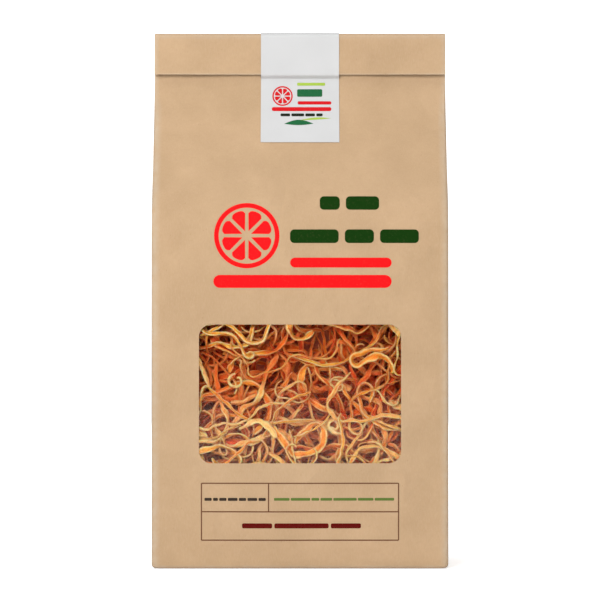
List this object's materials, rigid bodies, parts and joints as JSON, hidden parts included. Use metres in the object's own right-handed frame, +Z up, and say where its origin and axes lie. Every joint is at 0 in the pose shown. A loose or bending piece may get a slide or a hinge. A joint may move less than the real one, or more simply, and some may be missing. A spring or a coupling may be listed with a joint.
{
  "type": "kraft paper pack of dried orange peel strips",
  "caption": "Upright block-bottom kraft paper bag with a clear front window over dried orange peel strips, its top folded forward and held by a paper label.",
  "frame": {"origin": "centre of the bag's flat bottom, at the middle of its bounding box", "axes": "+Z up, out of the folded top; -Y out of the front panel with the window; +X along the front panel to the viewer's right"},
  "size_m": [0.12, 0.0643, 0.2193],
  "materials": {
    "kraft_paper": "matte",
    "clear_film": "gloss",
    "dried_peel": "satin",
    "label_paper": "satin"
  },
  "bodies": {
    "root": {"paper_bag": "kraft_paper", "window_film": "clear_film", "peel_strips": "dried_peel", "closure_label": "label_paper"}
  },
  "joints": []
}
